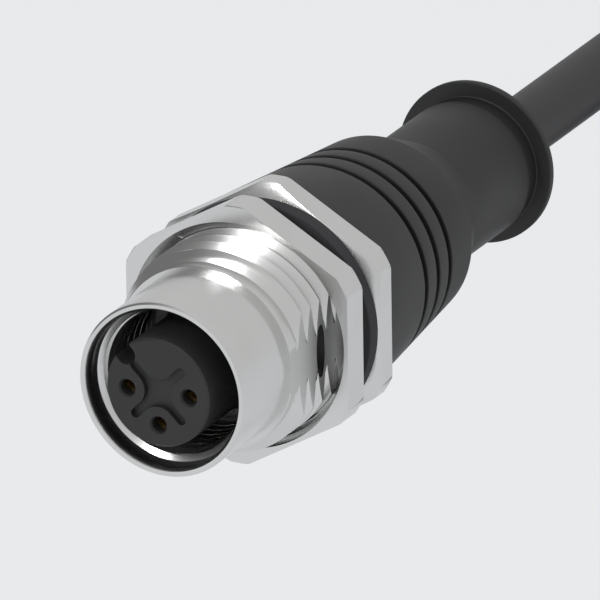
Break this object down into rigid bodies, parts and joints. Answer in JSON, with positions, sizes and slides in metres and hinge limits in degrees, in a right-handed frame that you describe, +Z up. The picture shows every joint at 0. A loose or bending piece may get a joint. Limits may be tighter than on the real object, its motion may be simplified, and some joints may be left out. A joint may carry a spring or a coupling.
{
  "type": "panel connector",
  "caption": "Round panel-mount signal connector with a threaded metal socket, a hexagonal flange and nut, a black moulded grip and a moulded cable with stripped ends.",
  "frame": {"origin": "on the connector's axis, at the front of the hexagonal flange, where the gasket lies", "axes": "-Y is the mating direction, +Y is where the cable leaves, +X is the stem's flat, +Z is up"},
  "size_m": [0.0234, 0.1412, 0.1052],
  "materials": {
    "nickel_plate": "satin nickel plate on brass",
    "nickel_plate_nut": "satin nickel plate on brass",
    "gasket_rubber": "dull black rubber",
    "seal_rubber": "dull black rubber",
    "carrier_plastic": "moulded black polyamide, fine matt",
    "resin": "black casting resin",
    "grip_plastic": "moulded black polyurethane, satin",
    "cable_jacket": "black polyurethane, satin",
    "tie_plastic": "black nylon",
    "gold_plate": "gold plate",
    "insulation_brown": "brown insulation",
    "insulation_blue": "blue insulation",
    "insulation_black": "black insulation",
    "tinned_copper": "tinned copper strands"
  },
  "bodies": {
    "connector": {"cable": "cable_jacket", "cable_coil": "cable_jacket", "cable_tail": "cable_jacket", "carrier_seal": "seal_rubber", "coil_tie": "tie_plastic", "contact_1": "gold_plate", "contact_3": "gold_plate", "contact_4": "gold_plate", "contact_carrier": "carrier_plastic", "core_black": "insulation_black", "core_blue": "insulation_blue", "core_brown": "insulation_brown", "grip": "grip_plastic", "lead_black": "insulation_black", "lead_blue": "insulation_blue", "lead_brown": "insulation_brown", "panel_gasket": "gasket_rubber", "potting": "resin", "shell": "nickel_plate", "strands_black": "tinned_copper", "strands_blue": "tinned_copper", "strands_brown": "tinned_copper"},
    "nut": {"panel_nut": "nickel_plate_nut"}
  },
  "joints": [
    {"name": "nut_travel", "type": "slide", "parent": "connector", "child": "nut", "axis": [0, -1, 0], "range_m": [-0.00125, 0.0156]}
  ]
}
